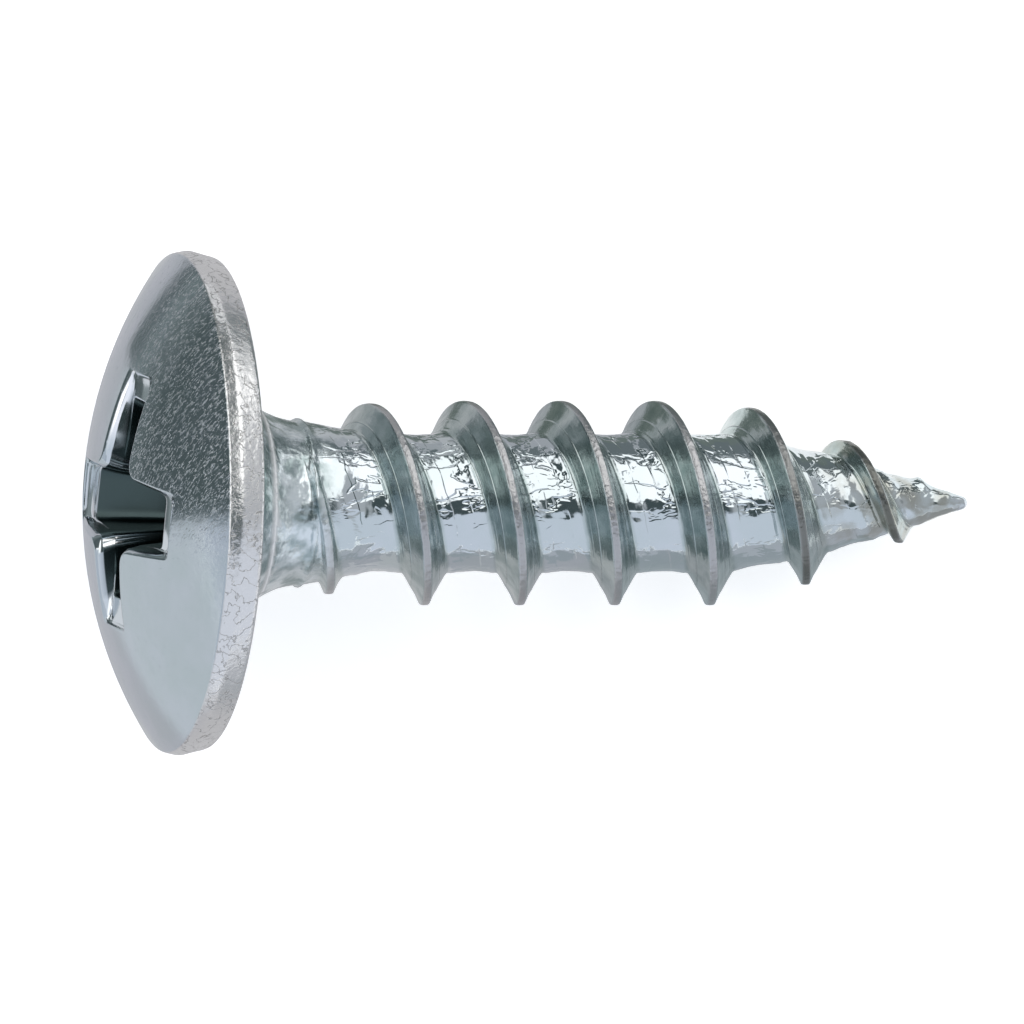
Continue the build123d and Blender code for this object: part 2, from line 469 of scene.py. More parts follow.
@dataclass
class Head:
    """Low dome with its rim, bearing face and cross recess, down to the neck's hollow curve.

    Reach, root_width, end_width and chamfer are the recess's sizes at the dome's skin plane
    and at full depth, and wing_longer is in the order of Wing. The pairs called edge, shade,
    highlight, begins and stops are soft steps: of columns from the middle of a land, of depth
    or of stations. The shade and highlight sizes place painted shade and painted highlights in
    the recess. Lips holds how far the mouth has grown and how far it lies under the skin.
    """

    columns: Columns
    shank: Shank
    head_r: float = 5.25
    dome_radius: float = 9.07
    rim_height: float = 0.78
    seam_drop: float = 0.25
    dome_edge_inset: float = 0.06
    rim_draft: float = 0.12
    bearing_chamfer: float = 0.06
    neck_rings: int = 14
    neck_begins: Flat = (-0.01, 0.3)
    rim_overlap: float = 0.002
    rim_blend: float = 0.04
    skin_depth: float = 0.02
    recess_offset: float = 0.85
    recess_shift: Flat = (0.05, 0.13)
    wing_turn: Flat = (8.5, 14.5)
    wing_longer: tuple[float, ...] = (0.0, -0.2, 0.0, 0.14)
    recess_depth: float = 2.3
    reach: Flat = (2.45, 1.25)
    root_width: Flat = (1.40, 0.95)
    end_width: Flat = (1.20, 0.85)
    chamfer: Flat = (0.42, 0.08)
    land_columns: int = 10
    land_edge: Flat = (6.0, 9.0)
    land_shade: Flat = (0.4, 1.5)
    land_highlight: Flat = (0.6, 1.4)
    flank_columns: int = 8
    corner_columns: int = 5
    corner_inset: float = 0.16
    bottom_depth: float = 2.6
    bottom_reach: float = 0.475
    bottom_end_width: float = 0.4
    bottom_root_width: float = 0.2375
    bottom_chamfer: float = 0.08
    bottom_shares: tuple[float, ...] = (1.0, 0.6, 0.3, 0.08)
    wall_depths: tuple[float, ...] = (2.28, 2.1, 1.8, 1.5, 1.2, 0.95, 0.75, 0.62, 0.56)
    ledge_reach: float = 2.75
    ledge_depth: float = 0.5
    ledge_lip: float = 0.03
    ledge_dish: float = 0.05
    dish_width: float = 0.3
    ledge_edge_blend: float = 0.04
    ledge_highlight: float = -0.5
    ledge_shares: tuple[float, ...] = (0.0, 0.06, 0.2, 0.5, 0.8, 0.95)
    flare: float = 0.085
    flare_depth: float = 0.15
    flare_step: float = 0.03
    flare_clearance: float = 0.05
    flare_shade: float = 0.3
    # Columns of the upper wing between which a painted highlight lies at the flare's foot.
    highlight_begins: Flat = (10.0, 13.0)
    highlight_stops: Flat = (24.0, 27.0)
    lip_inset: float = 0.02
    lip_drop: float = 0.04
    lips: tuple[Flat, ...] = ((0.0, 0.012), (0.02, 0.0), (0.05, 0.0), (0.12, 0.0))
    field_r: float = 3.6
    field_steps: int = 12
    skirt_steps: int = 12
    skirt_inset: float = 0.028
    skirt_last_shares: tuple[float, ...] = (0.945, 0.967, 0.982, 0.992, 1.0)
    lean: float = 1.0
    lean_length: float = 1.8
    lean_pivot: float = -0.5
    lean_shift: float = 0.003

    def __post_init__(self) -> None:
        """Works out the radii, stations and axes that follow from the sizes."""
        self.per_wing = self.columns.count // len(Wing)
        self.dome_edge_r = self.head_r - self.dome_edge_inset
        self.rim_edge_r = self.head_r - self.rim_draft
        self.bearing_r = self.rim_edge_r - self.bearing_chamfer
        self.centre = sqrt(self.dome_radius**2 - self.dome_edge_r**2) - self.rim_height
        tip = asin(self.recess_offset / self.dome_radius)
        self.inward = Vector((cos(tip), 0.0, -sin(tip)))
        self.recess_x = Vector((sin(tip), 0.0, cos(tip)))
        self.recess_y = Vector((0.0, -1.0, 0.0))
        self.recess_origin = Vector((self.centre, 0.0, 0.0)) - self.inward * self.dome_radius

    def outline(self, index: int, reach: float, end: float, root: float, chamfer: float) -> Flat:
        """A point of the cross's outline in the plane of the recess.

        Args:
            index: the column that the point belongs to.
            reach: half the length of a wing pair.
            end: width of a wing at its end.
            root: width of a wing at its root.
            chamfer: how far the land's corner is cut back.
        Returns:
            The point's place, turned as the recess is.
        """
        x, y = self.on_wing(index, reach, end, root, chamfer)
        for _ in range(index // self.per_wing):
            x, y = -y, x
        along, across = (radians(turn) for turn in self.wing_turn)
        return (
            self.recess_shift[0] + x * cos(along) - y * sin(across),
            self.recess_shift[1] + x * sin(along) + y * cos(across),
        )

    def on_wing(self, index: int, reach: float, end: float, root: float, chamfer: float) -> Flat:
        """The same point on its own wing: along the wing and across it."""
        wing, step = divmod(index, self.per_wing)
        land, flank, corner = self.land_columns, self.flank_columns, self.corner_columns
        reach += self.wing_longer[wing]
        mirrored = step > self.per_wing // 2
        if mirrored:
            step = self.per_wing - step
        root_x = root / 2 + chamfer
        inset = min(self.corner_inset, end / 4)
        slope = (root - end) / 2 / (reach - root_x)
        side_end = (reach - inset, -(end / 2 + slope * inset))
        if step <= land:
            t = 0.5 + 0.5 * step / land
            ends = ((root / 2, -root_x), (root / 2, -root / 2), (root_x, -root / 2))
            x, y = self.bend(ends, t)
        elif step <= land + flank:
            t = (step - land) / flank
            x = between(root_x, side_end[0], t)
            y = between(-root / 2, side_end[1], t)
        elif step <= land + flank + corner:
            t = (step - land - flank) / corner
            ends = (side_end, (reach, -end / 2), (reach, -end / 2 + inset))
            x, y = self.bend(ends, t)
        else:
            t = (step - land - flank - corner) / (self.per_wing / 2 - land - flank - corner)
            x, y = reach, between(-end / 2 + inset, 0.0, t)
        return x, -y if mirrored else y

    @staticmethod
    def bend(ends: tuple[Flat, ...], t: float) -> Flat:
        """A point of the rounded corner that three points span."""
        first, middle, last = ((1 - t) ** 2, 2 * t * (1 - t), t * t)
        return (
            ends[0][0] * first + ends[1][0] * middle + ends[2][0] * last,
            ends[0][1] * first + ends[1][1] * middle + ends[2][1] * last,
        )

    def in_recess(self, x: float, y: float, depth: float) -> Vector:
        """A point given in the recess's plane and its depth below the dome's skin plane."""
        return self.recess_origin + self.recess_x * x + self.recess_y * y + self.inward * depth

    def sag(self, x: float, y: float) -> float:
        """Depth of the dome's skin at a point of the recess's plane."""
        return self.dome_radius - sqrt(self.dome_radius**2 - x * x - y * y)

    def on_dome(self, side: float, up: float) -> Vector:
        """The dome's point at a place seen along the screw."""
        station = self.centre - sqrt(self.dome_radius**2 - side**2 - up**2)
        return Vector((station, side, up))

    def wall_outline(self, index: int, depth: float, reach: float) -> Flat:
        """Outline of the recess's sloping wall at a depth, for a given reach of the wings."""
        share = depth / self.recess_depth
        return self.outline(
            index,
            reach,
            between(*self.end_width, share),
            between(*self.root_width, share),
            between(*self.chamfer, share),
        )

    def mouth_outline(self, index: int, grow: float) -> Flat:
        """Outline of the flared mouth with its ledges, grown outwards."""
        return self.outline(
            index,
            self.ledge_reach + grow,
            self.end_width[0] + 2 * (grow + self.flare),
            self.root_width[0] + 2 * (grow + self.flare),
            self.chamfer[0],
        )

    def bottom(self, index: int, share: float) -> Vector:
        """A point of the hollow below the recess: share 0 is its edge and 1 its flat end."""
        x, y = self.outline(
            index,
            self.bottom_reach,
            self.bottom_end_width,
            self.bottom_root_width,
            self.bottom_chamfer,
        )
        low = self.in_recess(x, y, self.bottom_depth)
        return self.wall(index, self.recess_depth).lerp(low, share)

    def wall(self, index: int, depth: float) -> Vector:
        """A point of the recess's wall at a depth."""
        reach = between(*self.reach, depth / self.recess_depth)
        x, y = self.wall_outline(index, depth, reach)
        return self.in_recess(x, y, depth)

    def ledge_edge(self, index: int, depth: float) -> Vector:
        """A point of the wall that stands round the ledges, at a depth."""
        x, y = self.wall_outline(index, depth, self.ledge_reach)
        return self.in_recess(x, y, min(depth, self.sag(x, y) + depth))

    def ledge(self, index: int, share: float) -> Vector:
        """A point of the dished ledges: share 0 is their inner edge and 1 the outer one."""
        inner = self.wall(index, self.ledge_depth + self.ledge_lip * (1.0 - share) ** 4)
        outer = self.ledge_edge(index, self.ledge_depth)
        wide = min(1.0, (outer - inner).length / self.dish_width)
        dish = self.ledge_dish * 4.0 * share * (1.0 - share) * wide
        return inner.lerp(outer, share) + self.inward * dish

    def flare_foot(self, index: int, lower: float) -> Vector:
        """A point where the mouth's flare meets the wall below it, or a little lower."""
        x, y = self.wall_outline(index, 0.0, self.ledge_reach)
        depth = self.sag(x, y) + self.flare_depth + lower
        lowest = self.ledge_depth - self.flare_clearance + lower
        return self.in_recess(x, y, min(depth, lowest))

    def mouth(self, index: int, grow: float, below: float) -> Vector:
        """A point of the mouth, grown outwards, below the dome's skin."""
        x, y = self.mouth_outline(index, grow)
        return self.in_recess(x, y, self.sag(x, y) + below)

    def field(self, index: int, share: float) -> Vector:
        """A point of the dome between the mouth (share 0) and a round line (share 1)."""
        x, y = self.mouth_outline(index, self.lips[-1][0])
        turn = radians(self.columns.angle(index))
        x = between(x, self.field_r * cos(turn), share)
        y = between(y, self.field_r * sin(turn), share)
        return self.in_recess(x, y, self.sag(x, y))

    def skirt(self, index: int, share: float) -> Vector:
        """A point of the dome between that round line (share 0) and its edge (share 1)."""
        turn = radians(self.columns.angle(index))
        x, y = self.field_r * cos(turn), self.field_r * sin(turn)
        inner = self.in_recess(x, y, self.sag(x, y))
        edge = self.dome_edge_r - self.skirt_inset
        side = between(inner.y, -edge * sin(turn), share)
        up = between(inner.z, edge * cos(turn), share)
        return self.on_dome(side, up)

    def turned(self, index: int, r: float, station: float) -> Vector:
        """A point of a ring that is round about the screw's axis."""
        turn = radians(self.columns.angle(index))
        return Vector((station, -r * sin(turn), r * cos(turn)))

    def wall_share(self, index: int, depth: float) -> float:
        """Share of painted shade on the wall: less on the lands, with a painted highlight on one."""
        step = index % self.per_wing
        step = min(step, self.per_wing - step)
        land = 1.0 - smooth_step(*self.land_edge, step)
        painted_shade = between(1.0, smooth_step(*self.land_shade, depth), land)
        # A painted highlight on the land beside the left wing, near the mouth.
        if abs(index - Wing.LEFT.value * self.per_wing) < self.land_columns:
            painted_shade -= land * (1.0 - smooth_step(*self.land_highlight, depth))
        return painted_shade

    def ledge_share(self, index: int) -> float:
        """Share of painted shade on a ledge: a painted highlight past the end of the wing's wall."""
        wing = index // self.per_wing
        end = between(*self.reach, self.ledge_depth / self.recess_depth) + self.wing_longer[wing]
        sizes = (self.end_width[0], self.root_width[0], self.chamfer[0])
        along = self.on_wing(index, self.ledge_reach, *sizes)[0]
        blend = self.ledge_edge_blend
        past = smooth_step(end - blend, end + blend, along)
        return between(self.wall_share(index, self.ledge_depth), self.ledge_highlight, past)

    def flare_share(self, index: int) -> float:
        """Share of painted shade at the flare's foot: a painted highlight on the upper wing's far
        side.
        """
        wing, step = divmod(index, self.per_wing)
        if Wing(wing) is Wing.UPPER:
            begun = smooth_step(*self.highlight_begins, step)
            return -begun * (1.0 - smooth_step(*self.highlight_stops, step))
        return self.flare_shade * self.ledge_share(index)

    def under_flare_share(self, index: int) -> float:
        """Share of painted shade just under the flare: its painted highlight, or else as on the
        ledge.
        """
        return min(self.flare_share(index), 0.0) or self.ledge_share(index)

    def lip_share(self, index: int) -> float:
        """Share of painted shade just inside the lip: highlighted as the flare is, or else as the
        skin.
        """
        return min(0.0, self.flare_share(index))

    def rim_profile(self) -> list[Flat]:
        """Radius and station of the rim's rings, from the dome's edge to the bearing face."""
        seam = self.seam_drop - self.rim_height
        return [
            (self.dome_edge_r - 0.012, -self.rim_height - 0.003),
            (self.dome_edge_r + 0.002, -self.rim_height + 0.012),
            (self.dome_edge_r + 0.010, -self.rim_height + 0.032),
            (self.dome_edge_r + 0.018, -self.rim_height + 0.065),
            (self.dome_edge_r + 0.034, -self.rim_height + 0.14),
            (self.head_r - 0.012, seam - 0.045),
            (self.head_r - 0.007, seam - 0.012),
            (self.head_r - 0.007, seam + 0.012),
            (self.head_r - 0.012, seam + 0.045),
            (self.head_r - 0.03, seam + 0.12),
            (between(self.head_r, self.rim_edge_r, 0.6), seam * 0.5),
            (between(self.head_r, self.rim_edge_r, 0.8), seam * 0.3),
            (self.rim_edge_r + 0.01, -self.bearing_chamfer - 0.04),
            (self.rim_edge_r - 0.012, -self.bearing_chamfer + 0.015),
            (self.bearing_r + 0.012, -0.014),
            (self.bearing_r - 0.03, 0.0),
            (4.6, 0.0),
            (4.1, 0.0),
            (3.85, 0.0),
        ]

    def neck_profile(self) -> list[Flat]:
        """Radius and station of the rings of the neck's hollow curve, down to the shank."""
        fillet = self.shank.neck_fillet
        stop = asin((fillet - self.shank.start) / fillet)
        turns = [between(pi / 2, stop, step / self.neck_rings) for step in range(self.neck_rings)]
        outer = self.shank.neck_r + fillet
        curve = [(outer - fillet * cos(turn), fillet - fillet * sin(turn)) for turn in turns]
        return curve + [(self.shank.body_radius(self.shank.start), self.shank.start)]

    def rings(self) -> list[Ring]:
        """The rings of the head in order, from the bottom of the recess to the shank."""
        rings = [Ring(partial(self.bottom, share=share), at_bottom) for share in self.bottom_shares]
        for depth in self.wall_depths:
            share = partial(self.wall_share, depth=depth)
            rings.append(Ring(partial(self.wall, depth=depth), share))
        for share in self.ledge_shares:
            rings.append(Ring(partial(self.ledge, share=share), self.ledge_share))
        rings += [
            Ring(partial(self.flare_foot, lower=self.flare_step), self.under_flare_share),
            Ring(partial(self.flare_foot, lower=0.0), self.flare_share),
            Ring(partial(self.mouth, grow=-self.lip_inset, below=self.lip_drop), self.lip_share),
        ]
        for grow, below in self.lips:
            rings.append(Ring(partial(self.mouth, grow=grow, below=below), on_skin))
        for step in range(1, self.field_steps + 1):
            rings.append(Ring(partial(self.field, share=step / self.field_steps), on_skin))
        shares = [step / self.skirt_steps for step in range(1, self.skirt_steps)]
        for share in shares + list(self.skirt_last_shares):
            rings.append(Ring(partial(self.skirt, share=share), on_skin))
        for r, station in self.rim_profile() + self.neck_profile():
            rings.append(Ring(partial(self.turned, r=r, station=station), on_skin))
        return rings

    def zone(self, spot: Vector, painted_shade: float) -> Colour:
        """Shares of dome and rim, painted shade in the recess, and painted highlight where that share
        is under 0.
        """
        r = sqrt(spot.y**2 + spot.z**2)
        sunk = self.dome_radius - (spot - Vector((self.centre, 0.0, 0.0))).length
        rim = 0.0
        if spot.x > -self.rim_height - self.rim_overlap:
            rim = smooth_step(self.bearing_r - self.rim_blend, self.bearing_r, r)
        on_dome = spot.x < -self.rim_height and sunk < self.skin_depth
        dome = 1.0 - rim if on_dome else 0.0
        return (dome, rim, max(0.0, painted_shade), max(0.0, -painted_shade))

    def set_ring(self, verts: list[bmesh.types.BMVert], ring: Ring, zones: Zones) -> None:
        """Puts a ring's vertices in their places and gives them their zones."""
        for index, vert in enumerate(verts):
            vert.co = ring.place(index)
            vert[zones.head] = self.zone(vert.co, ring.painted_shade(index))

    @staticmethod
    def grow(bm: bmesh.types.BMesh, verts: list[bmesh.types.BMVert]) -> list[bmesh.types.BMVert]:
        """Extrudes a closed ring of vertices.

        Args:
            bm: the mesh.
            verts: the ring's vertices, in order.
        Returns:
            The new ring's vertices, in the same order.
        """
        count = len(verts)
        edges = [bm.edges.get((verts[i], verts[(i + 1) % count])) for i in range(count)]
        grown = bmesh.ops.extrude_edge_only(bm, edges=edges)
        fresh = [item for item in grown["geom"] if isinstance(item, bmesh.types.BMVert)]
        before = set(verts)
        pairs = {}
        for vert in fresh:
            for edge in vert.link_edges:
                other = edge.other_vert(vert)
                if other in before:
                    pairs[other] = vert
        return [pairs[vert] for vert in verts]

    def build(self, bm: bmesh.types.BMesh, zones: Zones) -> None:
        """Draws the head out of one circle, ring by ring."""
        first, *others = self.rings()
        count = self.columns.count
        made = bmesh.ops.create_circle(bm, segments=count, radius=1.0, cap_ends=False)
        verts = sorted(made["verts"], key=lambda vert: atan2(vert.co.y, vert.co.x) % (2 * pi))
        self.set_ring(verts, first, zones)
        bottom_face = bm.faces.new(verts)
        for centre in bmesh.ops.poke(bm, faces=[bottom_face])["verts"]:
            centre[zones.head] = self.zone(centre.co, 1.0)
        for ring in others:
            verts = self.grow(bm, verts)
            self.set_ring(verts, ring, zones)

    def lean_over(self, bm: bmesh.types.BMesh) -> None:
        """Leans the head on the shank, less and less along the neck."""
        for vert in bm.verts:
            station, side, up = vert.co
            share = 1.0 - smooth_step(0.0, self.lean_length, station)
            turn = radians(self.lean) * share
            ahead = station + side * sin(turn) + self.lean_shift * share
            aside = side * cos(turn) - (station - self.lean_pivot) * sin(turn)
            vert.co = Vector((ahead, aside, up))


def link(name: str, mesh: bpy.types.Mesh) -> bpy.types.Object:
    """Puts a mesh in the scene as an object at the origin."""
    piece = bpy.data.objects.new(name, mesh)
    bpy.context.scene.collection.objects.link(piece)
    return piece


@dataclass(frozen=True)
class Patches:
    """Patches of noise: cells per millimetre, detail, and the soft step at their edges."""

    scale: float
    detail: float
    low: float
    high: float


@dataclass(frozen=True)
class Relief:
    """A noise relief: cells per millimetre, detail and height in millimetres."""

    scale: float
    detail: float
    height: float


@dataclass(frozen=True)
class Line:
    """A line along the thread: its distance from the crest, its width and its height."""

    away: float
    width: float
    height: float


class Nodes:
    """Adds nodes to a node tree and links them."""

    def __init__(self, tree: bpy.types.NodeTree) -> None:
        """Takes the tree."""
        self.tree = tree

    def put(self, socket: Socket, value: object) -> None:
        """Links a socket to an output, or sets its value."""
        if isinstance(value, bpy.types.NodeSocket):
            self.tree.links.new(value, socket)
        else:
            socket.default_value = value

    def add(self, kind: str, *values: object, **settings: object) -> bpy.types.Node:
        """Adds a node.

        Args:
            kind: the node's type.
            values: outputs or values for its first sockets, in order.
            settings: the node's own settings by name.
        Returns:
            The node.
        """
        node = self.tree.nodes.new(kind)
        for name, value in settings.items():
            setattr(node, name, value)
        for socket, value in zip(node.inputs, values):
            self.put(socket, value)
        return node

    def math(self, operation: str, *values: object) -> Socket:
        """The result of a Math node."""
        return self.add("ShaderNodeMath", *values, operation=operation).outputs[0]

    def total(self, *values: object) -> Socket:
        """The sum of several values."""
        result = values[0]
        for value in values[1:]:
            result = self.math("ADD", result, value)
        return result

    def times(self, *values: object) -> Socket:
        """The product of several values."""
        result = values[0]
        for value in values[1:]:
            result = self.math("MULTIPLY", result, value)
        return result

    def step(self, value: object, low: float, high: float) -> Socket:
        """A soft step of a value, from 0 at low to 1 at high."""
        node = self.add("ShaderNodeMapRange", value, low, high, interpolation_type="SMOOTHSTEP")
        return node.outputs[0]

    def window(self, value: object, low: float, high: float, soft: float) -> Socket:
        """A mask that is 1 where a value is between low and high, with soft edges."""
        rise = self.step(value, low - soft / 2, low + soft / 2)
        return self.times(rise, self.step(value, high + soft / 2, high - soft / 2))

    def noise(self, place: object, scale: float, detail: float, warp: float = 0.0) -> Socket:
        """A noise value about 0, from roughly -0.5 to 0.5."""
        node = self.add("ShaderNodeTexNoise")
        self.put(node.inputs["Vector"], place)
        self.put(node.inputs["Scale"], scale)
        self.put(node.inputs["Detail"], detail)
        self.put(node.inputs["Distortion"], warp)
        return self.math("SUBTRACT", node.outputs["Fac"], 0.5)

    def crease(self, place: object, scale: float, detail: float) -> Socket:
        """Sharp folds: the size of a slightly warped noise value, up to about 0.5."""
        return self.math("ABSOLUTE", self.noise(place, scale, detail, 0.3))

    def patches(self, place: object, patches: Patches) -> Socket:
        """A mask of patches."""
        value = self.noise(place, patches.scale, patches.detail)
        return self.step(value, patches.low, patches.high)

    def folds(self, place: object, folds: Patches) -> Socket:
        """A mask of sharp folds."""
        value = self.crease(place, folds.scale, folds.detail)
        return self.step(value, folds.low, folds.high)

    def relief(self, place: object, relief: Relief) -> Socket:
        """The height of a noise relief."""
        return self.times(self.noise(place, relief.scale, relief.detail), relief.height)

    def fold_relief(self, place: object, relief: Relief) -> Socket:
        """The height of a relief of sharp folds."""
        return self.times(self.crease(place, relief.scale, relief.detail), relief.height)

    def line(self, away: object, line: Line, *shares: object) -> Socket:
        """The height of a thin rounded line along the thread, where the shares let it be."""
        off = self.math("ABSOLUTE", self.math("SUBTRACT", away, line.away))
        return self.times(self.step(off, line.width, 0.0), *shares, line.height)

    def dot(self, place: object, axis: Vector) -> Socket:
        """How far a place lies along an axis."""
        return self.add("ShaderNodeVectorMath", place, axis, operation="DOT_PRODUCT").outputs[1]

    def resized(self, place: object, scale: float) -> Socket:
        """A vector times a number."""
        node = self.add("ShaderNodeVectorMath", place, operation="SCALE")
        self.put(node.inputs["Scale"], scale)
        return node.outputs[0]

    def join(self, x: object, y: object, z: object) -> Socket:
        """A vector from three values."""
        return self.add("ShaderNodeCombineXYZ", x, y, z).outputs[0]

    def blend(self, share: object, first: object, second: object) -> Socket:
        """A colour part of the way from the first to the second."""
        node = self.add("ShaderNodeMix", data_type="RGBA")
        self.put(node.inputs["Factor"], share)
        self.put(node.inputs["A"], first)
        self.put(node.inputs["B"], second)
        return node.outputs["Result"]


@dataclass(frozen=True)
class Surface:
    """Where a point of the plating is, and the masks that several finishes share.

    Place and distances are in millimetres. The rest are shares from 0 to 1, but for satin,
    which is a noise value about 0.
    """

    place: Socket
    along: Socket
    raised: Socket
    aside: Socket
    away: Socket
    valley: Socket
    flank: Socket
    top: Socket
    neck: Socket
    dome: Socket
    rim: Socket
    # Share of painted shade in the recess.
    painted_shade: Socket
    # Share of painted highlight in the recess.
    highlight_share: Socket
    cracked: Socket
    flecks: Socket
    # Where the painted glints go on the dome.
    glint_side: Socket
    broken: Socket
    satin: Socket


@dataclass(frozen=True)
class ZincPlate:
    """Bright zinc plating over steel with marks of forging, rolling and handling, painted shade and
    highlights.

    A pair of stations or distances is a soft step. Heights are in millimetres.
    """

    lie: Lie
    colour: Colour = (0.57, 0.63, 0.645, 1.0)
    mottled: Colour = (0.61, 0.655, 0.69, 1.0)
    # Painted shade on the thread's flanks: a dark and a less dark colour, mixed in random patches.
    flank: tuple[Colour, Colour] = ((0.33, 0.40, 0.395, 1.0), (0.50, 0.56, 0.555, 1.0))
    crest: Colour = (0.40, 0.39, 0.39, 1.0)
    last_crest: Colour = (0.12, 0.125, 0.11, 1.0)
    rim: Colour = (0.72, 0.72, 0.72, 1.0)
    rim_crack: Colour = (0.42, 0.42, 0.41, 1.0)
    neck: tuple[Colour, Colour] = ((0.32, 0.39, 0.39, 1.0), (0.72, 0.78, 0.80, 1.0))
    # Painted highlight colour, for bright facets in the recess and bright strokes on the dome.
    polished: Colour = (0.98, 0.98, 0.98, 1.0)
    # Painted shade in the recess.
    shade: Colour = (0.035, 0.06, 0.06, 1.0)
    tarnish: Colour = (0.37, 0.37, 0.32, 1.0)

    crest_share: float = 0.8
    last_crest_share: float = 0.85
    shade_share: float = 0.95
    stain_share: float = 0.75
    fleck_share: float = 0.8

    plain_roughness: float = 0.1
    dome_roughness: float = 0.08
    fleck_roughness: float = 0.2
    flank_roughness: float = 0.08
    crest_roughness: float = 0.2
    rim_roughness: float = 0.14
    neck_roughness: float = 0.14
    deep_roughness: float = 0.15
    roughness_waves: Relief = Relief(2.0, 3.0, 0.08)

    mottling: Patches = Patches(0.9, 3.0, -0.15, 0.2)
    # Random patches of the flanks' painted shade.
    flank_shade_patches: Patches = Patches(2.3, 3.0, -0.2, 0.2)
    blotches: Patches = Patches(2.1, 3.0, -0.14, 0.14)
    stains: Patches = Patches(1.9, 3.0, -0.16, 0.12)
    specks: Patches = Patches(11.0, 2.0, 0.15, 0.2)
    breaks: Patches = Patches(1.6, 2.0, -0.12, 0.05)
    stained_from: Flat = (12.0, 14.2)
    last_crest_from: Flat = (10.8, 12.8)
    calm_from: Flat = (15.6, 12.6)
    calm_least: float = 0.3

    fleck_rise: float = 0.66
    fleck_run: float = 0.75
    fleck_cells: Flat = (8.0, 24.0)
    fleck_grain: Point = (1.0, 3.0, 1.1)
    fleck_edge: Flat = (0.06, 0.16)
    fleck_height: float = 0.017
    # Soft steps of height and side for the painted glints on the dome.
    glint_above: Flat = (0.6, 2.2)
    glint_beside: Flat = (-1.2, 0.8)
    satin_grain: Flat = (5.0, 3.0)
    satin_height: float = 0.005
    speck_height: float = 0.002

    fold_stretch: Point = (0.75, 1.6, 1.0)
    valley_folds: Patches = Patches(1.3, 3.0, 0.0, 0.05)
    fold_height: float = 0.004
    fold_more: float = 0.01
    ripple_grain: Flat = (4.0, 2.0)
    ripple_height: float = 0.004
    ripple_more: float = 0.008
    upper_side: Flat = (-0.3, 0.1)
    seam_waver: Relief = Relief(1.3, 3.0, 0.22)
    seam_edge: Flat = (0.8, 0.835)
    seam_height: float = -0.008

    flank_cells: Flat = (26.0, 0.7)
    flank_grooves: Relief = Relief(1.0, 2.0, 0.006)
    flank_waves: Relief = Relief(3.0, 3.0, 0.012)
    flank_line: Line = Line(0.3, 0.014, 0.01)
    foot_line: Line = Line(0.42, 0.02, 0.006)
    crest_grain: Relief = Relief(9.0, 3.0, 0.03)
    crest_line: Line = Line(0.088, 0.014, -0.008)
    rim_grain: Relief = Relief(7.0, 3.0, 0.013)
    cracks: Patches = Patches(3.0, 4.0, 0.02, 0.0)
    crack_height: float = -0.004
    rim_folds: Relief = Relief(3.4, 3.0, 0.008)
    neck_waves: Relief = Relief(2.6, 2.5, 0.055)
    neck_satin_height: float = 0.006

    def material(self) -> bpy.types.Material:
        """The plating's material."""
        made = bpy.data.materials.new("zinc_plated_steel")
        made.use_nodes = True
        nodes = Nodes(made.node_tree)
        on = self.surface(nodes)
        shader = made.node_tree.nodes["Principled BSDF"]
        nodes.put(shader.inputs["Metallic"], 1.0)
        nodes.put(shader.inputs["Base Color"], self.tint(nodes, on))
        nodes.put(shader.inputs["Roughness"], self.roughness(nodes, on))
        bump = nodes.add("ShaderNodeBump")
        nodes.put(bump.inputs["Strength"], 1.0)
        nodes.put(bump.inputs["Distance"], MILLIMETRE)
        nodes.put(bump.inputs["Height"], self.height(nodes, on))
        nodes.put(shader.inputs["Normal"], bump.outputs[0])
        return made

    def surface(self, nodes: Nodes) -> Surface:
        """Reads the place and the vertex layers, and makes the shared masks."""
        place = nodes.resized(nodes.add("ShaderNodeTexCoord").outputs["Object"], PER_METRE)
        thread = nodes.add("ShaderNodeAttribute", attribute_name="thread_zone").outputs
        head = nodes.add("ShaderNodeAttribute", attribute_name="head_zone").outputs
        away = nodes.add("ShaderNodeAttribute", attribute_name="away").outputs["Fac"]
        valley, flank, top = nodes.add("ShaderNodeSeparateColor", thread["Color"]).outputs
        dome, rim, painted_shade = nodes.add("ShaderNodeSeparateColor", head["Color"]).outputs
        ahead, side, up = self.lie.axes()
        seat = Vector(self.lie.seat)
        raised = nodes.math("SUBTRACT", nodes.dot(place, up), up.dot(seat))
        aside = nodes.dot(place, side)
        return Surface(
            place=place,
            along=nodes.math("SUBTRACT", nodes.dot(place, ahead), ahead.dot(seat)),
            raised=raised,
            aside=aside,
            away=away,
            valley=valley,
            flank=flank,
            top=top,
            neck=thread["Alpha"],
            dome=dome,
            rim=rim,
            painted_shade=painted_shade,
            highlight_share=head["Alpha"],
            cracked=nodes.folds(place, self.cracks),
            flecks=self.flecks(nodes, place, side, up),
            # Where the painted glints go: the upper part of the dome, towards one side.
            glint_side=nodes.times(
                nodes.step(raised, *self.glint_above), nodes.step(aside, *self.glint_beside)
            ),
            broken=nodes.patches(place, self.breaks),
            satin=nodes.noise(place, *self.satin_grain),
        )

    def flecks(self, nodes: Nodes, place: Socket, side: Vector, up: Vector) -> Socket:
        """A mask of short strokes, painted bright as glints, that run up and to the side."""
        run = nodes.dot(place, up * self.fleck_rise + side * self.fleck_run)
        cross = nodes.dot(place, side * self.fleck_rise - up * self.fleck_run)
        run_cells, cross_cells = self.fleck_cells
        stroke = nodes.join(nodes.times(run, run_cells), nodes.times(cross, cross_cells), 0.0)
        return nodes.step(nodes.noise(stroke, *self.fleck_grain), *self.fleck_edge)

